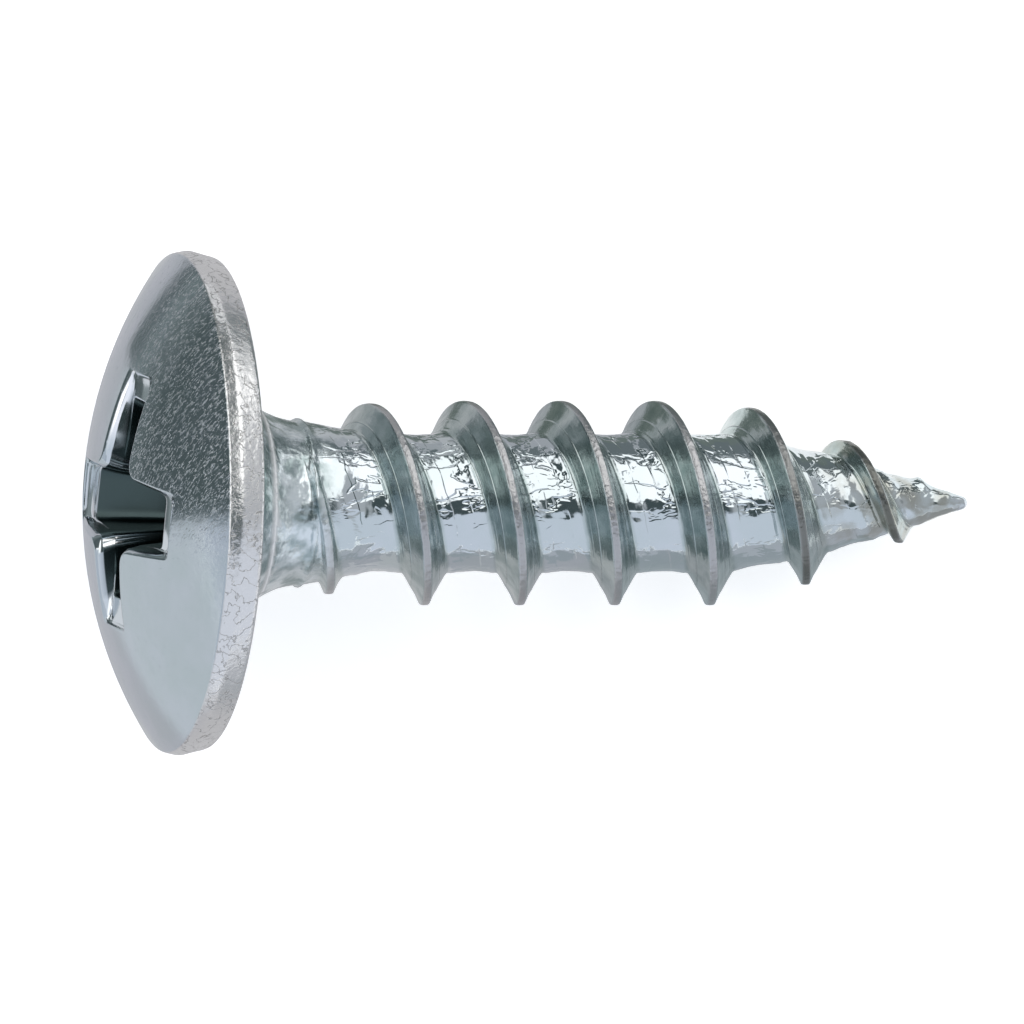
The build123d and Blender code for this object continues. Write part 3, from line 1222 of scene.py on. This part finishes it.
    def tint(self, nodes: Nodes, on: Surface) -> Socket:
        """The plating's colour, zone over zone, with painted shade and painted highlights."""
        colour = nodes.blend(nodes.patches(on.place, self.mottling), self.colour, self.mottled)
        # Painted shade on the flanks.
        shaded_flank = nodes.blend(nodes.patches(on.place, self.flank_shade_patches), *self.flank)
        colour = nodes.blend(on.flank, colour, shaded_flank)
        colour = nodes.blend(nodes.times(on.top, self.crest_share), colour, self.crest)
        rim = nodes.blend(on.cracked, self.rim, self.rim_crack)
        colour = nodes.blend(on.rim, colour, rim)
        neck = nodes.blend(nodes.patches(on.place, self.blotches), *self.neck)
        colour = nodes.blend(on.neck, colour, neck)
        # Painted shade in the recess, by its share.
        colour = nodes.blend(nodes.times(on.painted_shade, self.shade_share), colour, self.shade)
        near_tip = nodes.step(on.along, *self.stained_from)
        stains = nodes.patches(on.place, self.stains)
        stained = nodes.times(near_tip, stains, self.stain_share)
        colour = nodes.blend(stained, colour, self.tarnish)
        far_crest = nodes.step(on.along, *self.last_crest_from)
        last = nodes.times(on.top, far_crest, self.last_crest_share)
        colour = nodes.blend(last, colour, self.last_crest)
        # Painted highlights on facets in the recess, by their share.
        colour = nodes.blend(on.highlight_share, colour, self.polished)
        # Bright strokes on the upper part of the dome: painted glints in the highlight colour.
        flecks = nodes.times(on.dome, on.flecks, on.glint_side, self.fleck_share)
        return nodes.blend(flecks, colour, self.polished)

    def roughness(self, nodes: Nodes, on: Surface) -> Socket:
        """The plating's roughness."""
        return nodes.total(
            self.plain_roughness,
            nodes.times(on.dome, self.dome_roughness),
            nodes.times(on.dome, on.flecks, on.glint_side, self.fleck_roughness),
            nodes.times(on.flank, self.flank_roughness),
            nodes.times(on.top, self.crest_roughness),
            nodes.times(on.rim, self.rim_roughness),
            nodes.times(on.neck, self.neck_roughness),
            nodes.times(on.painted_shade, self.deep_roughness),
            nodes.relief(on.place, self.roughness_waves),
        )

    def height(self, nodes: Nodes, on: Surface) -> Socket:
        """Height of the fine marks that are too small for the mesh."""
        calm = nodes.step(on.along, *self.calm_from)
        return nodes.total(
            nodes.times(on.dome, self.dome_height(nodes, on)),
            nodes.times(
                on.valley,
                self.valley_height(nodes, on),
                nodes.total(self.calm_least, nodes.times(calm, 1.0 - self.calm_least)),
            ),
            nodes.times(on.flank, self.flank_height(nodes, on)),
            nodes.times(on.top, self.crest_height(nodes, on)),
            nodes.times(on.rim, self.rim_height(nodes, on)),
            nodes.times(on.neck, self.neck_height(nodes, on)),
        )

    def dome_height(self, nodes: Nodes, on: Surface) -> Socket:
        """Flecks, satin and specks of the dome."""
        return nodes.total(
            nodes.times(on.flecks, on.glint_side, self.fleck_height),
            nodes.times(on.satin, self.satin_height),
            nodes.times(nodes.patches(on.place, self.specks), self.speck_height),
        )

    def valley_height(self, nodes: Nodes, on: Surface) -> Socket:
        """Folds and ripples of the valleys, stronger on one side, and a broken seam."""
        upper = nodes.step(on.aside, *self.upper_side)
        stretched = nodes.add(
            "ShaderNodeVectorMath", on.place, self.fold_stretch, operation="MULTIPLY"
        )
        folds = nodes.folds(stretched.outputs[0], self.valley_folds)
        ripples = nodes.noise(on.place, *self.ripple_grain)
        waver = nodes.relief(on.place, self.seam_waver)
        seam = nodes.step(nodes.total(on.away, waver), *self.seam_edge)
        return nodes.total(
            nodes.times(folds, nodes.total(self.fold_height, nodes.times(upper, self.fold_more))),
            nodes.times(
                ripples, nodes.total(self.ripple_height, nodes.times(upper, self.ripple_more))
            ),
            nodes.times(seam, on.broken, self.seam_height),
        )

    def flank_height(self, nodes: Nodes, on: Surface) -> Socket:
        """Grooves along the flanks of the thread."""
        across_cells, along_cells = self.flank_cells
        slow = nodes.resized(on.place, along_cells)
        split = nodes.add("ShaderNodeSeparateXYZ", slow).outputs
        along_thread = nodes.join(nodes.times(on.away, across_cells), split["Y"], split["Z"])
        return nodes.total(
            nodes.relief(along_thread, self.flank_grooves),
            nodes.relief(on.place, self.flank_waves),
            nodes.line(on.away, self.flank_line),
            nodes.line(on.away, self.foot_line, on.broken),
        )

    def crest_height(self, nodes: Nodes, on: Surface) -> Socket:
        """Grain of the crests and the fine line beside them."""
        return nodes.total(
            nodes.relief(on.place, self.crest_grain), nodes.line(on.away, self.crest_line)
        )

    def rim_height(self, nodes: Nodes, on: Surface) -> Socket:
        """Grain, cracks and folds of the rim."""
        return nodes.total(
            nodes.relief(on.place, self.rim_grain),
            nodes.times(on.cracked, self.crack_height),
            nodes.fold_relief(on.place, self.rim_folds),
        )

    def neck_height(self, nodes: Nodes, on: Surface) -> Socket:
        """Swellings and satin of the neck."""
        return nodes.total(
            nodes.relief(on.place, self.neck_waves),
            nodes.times(on.satin, self.neck_satin_height),
        )


@dataclass
class Screw:
    """The whole screw: one closed mesh with its plating."""

    lie: Lie
    merge_gap: float = 1e-5
    least_edge: float = 1e-6

    def build(self) -> bpy.types.Object:
        """Builds the shank and the head as one mesh and lays it in its place."""
        columns = Columns()
        shank = Shank(columns)
        head = Head(columns, shank)
        bm = bmesh.new()
        zones = Zones.on(bm)
        shank.build(bm, zones)
        head.build(bm, zones)
        zones.settle(bm, shank.start, head.neck_begins)
        bmesh.ops.remove_doubles(bm, verts=bm.verts, dist=self.merge_gap)
        bmesh.ops.dissolve_degenerate(bm, edges=bm.edges, dist=self.least_edge)
        head.lean_over(bm)
        bm.transform(self.lie.matrix())
        bmesh.ops.recalc_face_normals(bm, faces=bm.faces)
        for face in bm.faces:
            face.smooth = True
        self.report(bm)
        mesh = bpy.data.meshes.new("screw")
        bm.to_mesh(mesh)
        bm.free()
        mesh.materials.append(ZincPlate(self.lie).material())
        return link("screw", mesh)

    @staticmethod
    def report(bm: bmesh.types.BMesh) -> None:
        """Logs the size of the mesh and whether it is closed."""
        triangles = sum(len(face.verts) - 2 for face in bm.faces)
        open_edges = sum(1 for edge in bm.edges if not edge.is_manifold)
        volume = bm.calc_volume() * PER_METRE**3
        LOG.info("screw: faces %d, triangles %d, open edges %d, volume %.3f mm3",
                 len(bm.faces), triangles, open_edges, volume)


@dataclass(frozen=True)
class Card:
    """A flat card on or over the floor that only shows in the plating's reflections."""

    name: str
    middle: Point
    size: Point
    colour: Colour
    thickness: float = 0.1

    def build(self) -> None:
        """Builds the card."""
        bm = bmesh.new()
        bmesh.ops.create_cube(bm, size=1.0)
        size = Vector([max(part, self.thickness) for part in self.size])
        bmesh.ops.scale(bm, verts=bm.verts, vec=size)
        bmesh.ops.translate(bm, verts=bm.verts, vec=Vector(self.middle))
        bmesh.ops.scale(bm, verts=bm.verts, vec=Vector((MILLIMETRE,) * 3))
        mesh = bpy.data.meshes.new(self.name)
        bm.to_mesh(mesh)
        bm.free()
        mesh.materials.append(self.material())
        piece = link(self.name, mesh)
        piece.visible_camera = False
        piece.visible_diffuse = False
        piece.visible_shadow = False

    def material(self) -> bpy.types.Material:
        """The card's even glow."""
        made = bpy.data.materials.new(self.name)
        made.use_nodes = True
        made.node_tree.nodes.clear()
        nodes = Nodes(made.node_tree)
        glow = nodes.add("ShaderNodeEmission", self.colour)
        nodes.add("ShaderNodeOutputMaterial", glow.outputs[0])
        return made


@dataclass(frozen=True)
class SoftBox:
    """A bright field of the surroundings.

    Its height is an angle in degrees about the row's length, from straight above, positive
    to the far side. Its breadth is the share of a direction that lies along the row.
    """

    from_height: float
    to_height: float
    height_blend: float
    from_breadth: float
    to_breadth: float
    breadth_blend: float
    colour: Colour

    def mask(self, nodes: Nodes, height: Socket, breadth: Socket) -> Socket:
        """How much of the field is in a direction."""
        low, high = radians(self.from_height), radians(self.to_height)
        return nodes.times(
            nodes.window(height, low, high, self.height_blend),
            nodes.window(breadth, self.from_breadth, self.to_breadth, self.breadth_blend),
        )


CARDS = (
    Card("card_left", (-13.2, 29.4, 9.1), (0.0, 60.0, 8.6), (0.095, 0.12, 0.125, 1.0)),
    Card("card_left_mid", (-13.2, 29.4, 3.7), (0.0, 60.0, 2.2), (0.15, 0.18, 0.185, 1.0)),
    Card("card_left_foot", (-13.2, 29.4, 1.3), (0.0, 60.0, 2.6), (0.22, 0.26, 0.27, 1.0)),
    Card("card_left_low", (-24.35, 23.25, 0.06), (26.3, 37.5, 0.0), (0.12, 0.15, 0.155, 1.0)),
    Card("card_dome", (-155.0, -141.0, 0.02), (289.0, 300.0, 0.0), (0.70, 0.735, 0.78, 1.0)),
    Card("card_rim", (-5.0, -1.0, 0.05), (7.6, 120.0, 0.0), (0.62, 0.62, 0.64, 1.0)),
    Card("card_limb", (-10.6, -21.0, 0.05), (3.6, 78.0, 0.0), (0.56, 0.56, 0.60, 1.0)),
    Card("card_step", (0.5, -1.0, 0.05), (3.4, 120.0, 0.0), (0.50, 0.51, 0.54, 1.0)),
    Card("card_low", (4.9, -21.0, 0.05), (5.4, 40.0, 0.0), (0.42, 0.46, 0.49, 1.0)),
    Card("card_point", (27.6, -31.0, 0.05), (40.0, 60.0, 0.0), (0.56, 0.58, 0.63, 1.0)),
    Card("card_high", (15.6, 31.0, 0.05), (26.8, 55.0, 0.0), (0.19, 0.22, 0.23, 1.0)),
    Card("card_crowns", (2.0, 4.1, 0.07), (13.0, 2.2, 0.0), (0.20, 0.235, 0.22, 1.0)),
    Card("card_far_high", (38.8, 109.5, 0.05), (80.0, 101.0, 0.0), (0.5, 0.52, 0.54, 1.0)),
    Card("card_far_low", (38.8, -110.5, 0.05), (80.0, 99.0, 0.0), (0.55, 0.57, 0.6, 1.0)),
)

SOFT_BOXES = (
    SoftBox(-100, 100, 0.1, 0.72, 1.2, 0.16, (0.55, 0.57, 0.6, 1.0)),
    SoftBox(4, 84, 0.06, 0.14, 0.74, 0.08, (1.6, 1.6, 1.6, 1.0)),
    SoftBox(-46, 78, 0.1, -0.8, -0.2, 0.08, (1.5, 1.5, 1.5, 1.0)),
    SoftBox(-95, -22, 0.06, -0.45, 0.9, 0.12, (0.8, 0.85, 0.95, 1.0)),
    SoftBox(-95, -5, 0.2, -1.2, -0.45, 0.2, (0.6, 0.65, 0.73, 1.0)),
)


@dataclass
class Studio:
    """Floor, reflection cards, surroundings and the camera."""

    lie: Lie
    dim: Colour = (0.075, 0.1, 0.105, 1.0)
    floor_colour: Colour = (0.9, 0.9, 0.9, 1.0)
    floor_roughness: float = 0.9
    floor_lift: float = 0.55
    picture_size: int = 1024
    pixels_per_millimetre: float = 48.14
    seat_column: float = 207.4
    seat_row: float = 503.0
    camera_distance: float = 200.0

    def build(self) -> None:
        """Sets the whole studio up."""
        bpy.context.scene.view_settings.view_transform = "Standard"
        self.floor()
        for card in CARDS:
            card.build()
        self.world()
        self.camera()
        LOG.info("studio: floor, %d cards, %d soft boxes", len(CARDS), len(SOFT_BOXES))

    def floor(self) -> None:
        """A plain pale floor that rays from the camera and the metal see a little brighter."""
        bm = bmesh.new()
        bmesh.ops.create_grid(bm, x_segments=1, y_segments=1, size=1.0)
        mesh = bpy.data.meshes.new("floor")
        bm.to_mesh(mesh)
        bm.free()
        made = bpy.data.materials.new("floor_paint")
        made.use_nodes = True
        nodes = Nodes(made.node_tree)
        paint = made.node_tree.nodes["Principled BSDF"].inputs
        nodes.put(paint["Base Color"], self.floor_colour)
        nodes.put(paint["Roughness"], self.floor_roughness)
        nodes.put(paint["Specular IOR Level"], 0.0)
        nodes.put(paint["Emission Color"], (1.0, 1.0, 1.0, 1.0))
        path = nodes.add("ShaderNodeLightPath").outputs
        seen = path["Is Camera Ray"]
        for name in ("Is Glossy Ray", "Is Transmission Ray"):
            seen = nodes.math("MAXIMUM", seen, path[name])
        nodes.put(paint["Emission Strength"], nodes.times(seen, self.floor_lift))
        mesh.materials.append(made)
        piece = link("floor", mesh)

    def world(self) -> None:
        """Dim surroundings with the soft boxes painted over one another."""
        world = bpy.data.worlds.new("studio")
        bpy.context.scene.world = world
        world.use_nodes = True
        nodes = Nodes(world.node_tree)
        way = nodes.add("ShaderNodeTexCoord").outputs["Generated"]
        split = nodes.add("ShaderNodeSeparateXYZ", way).outputs
        height = nodes.math("ARCTAN2", split["Y"], split["Z"])
        colour = self.dim
        for box in SOFT_BOXES:
            colour = nodes.blend(box.mask(nodes, height, split["X"]), colour, box.colour)
        background = world.node_tree.nodes["Background"]
        nodes.put(background.inputs["Color"], colour)
        nodes.put(background.inputs["Strength"], 1.0)

    def camera(self) -> None:
        """The camera at the photograph's viewing angle."""
        scale = self.pixels_per_millimetre
        centre = self.picture_size / 2
        lean = radians(self.lie.tilt - self.lie.view_tilt)
        right = Vector((cos(lean), 0.0, -sin(lean)))
        toward = Vector((sin(lean), 0.0, cos(lean)))
        middle = (
            Vector(self.lie.seat)
            + right * ((centre - self.seat_column) / scale)
            + Vector((0.0, (self.seat_row - centre) / scale, 0.0))
        )
        data = bpy.data.cameras.new("camera")
        data.type = "ORTHO"
        data.ortho_scale = MILLIMETRE * self.picture_size / scale
        data.clip_start = 0.01
        data.clip_end = 10.0
        camera = bpy.data.objects.new("camera", data)
        camera.location = (middle + toward * self.camera_distance) * MILLIMETRE
        camera.rotation_euler = (0.0, lean, 0.0)
        bpy.context.scene.collection.objects.link(camera)
        bpy.context.scene.camera = camera


def main() -> None:
    """Builds the screw and the studio."""
    lie = Lie()
    screw = Screw(lie).build()
    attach(screw, "root")
    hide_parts("truss_head_screw")
    Studio(lie).build()


if __name__ == "__main__":
    main()
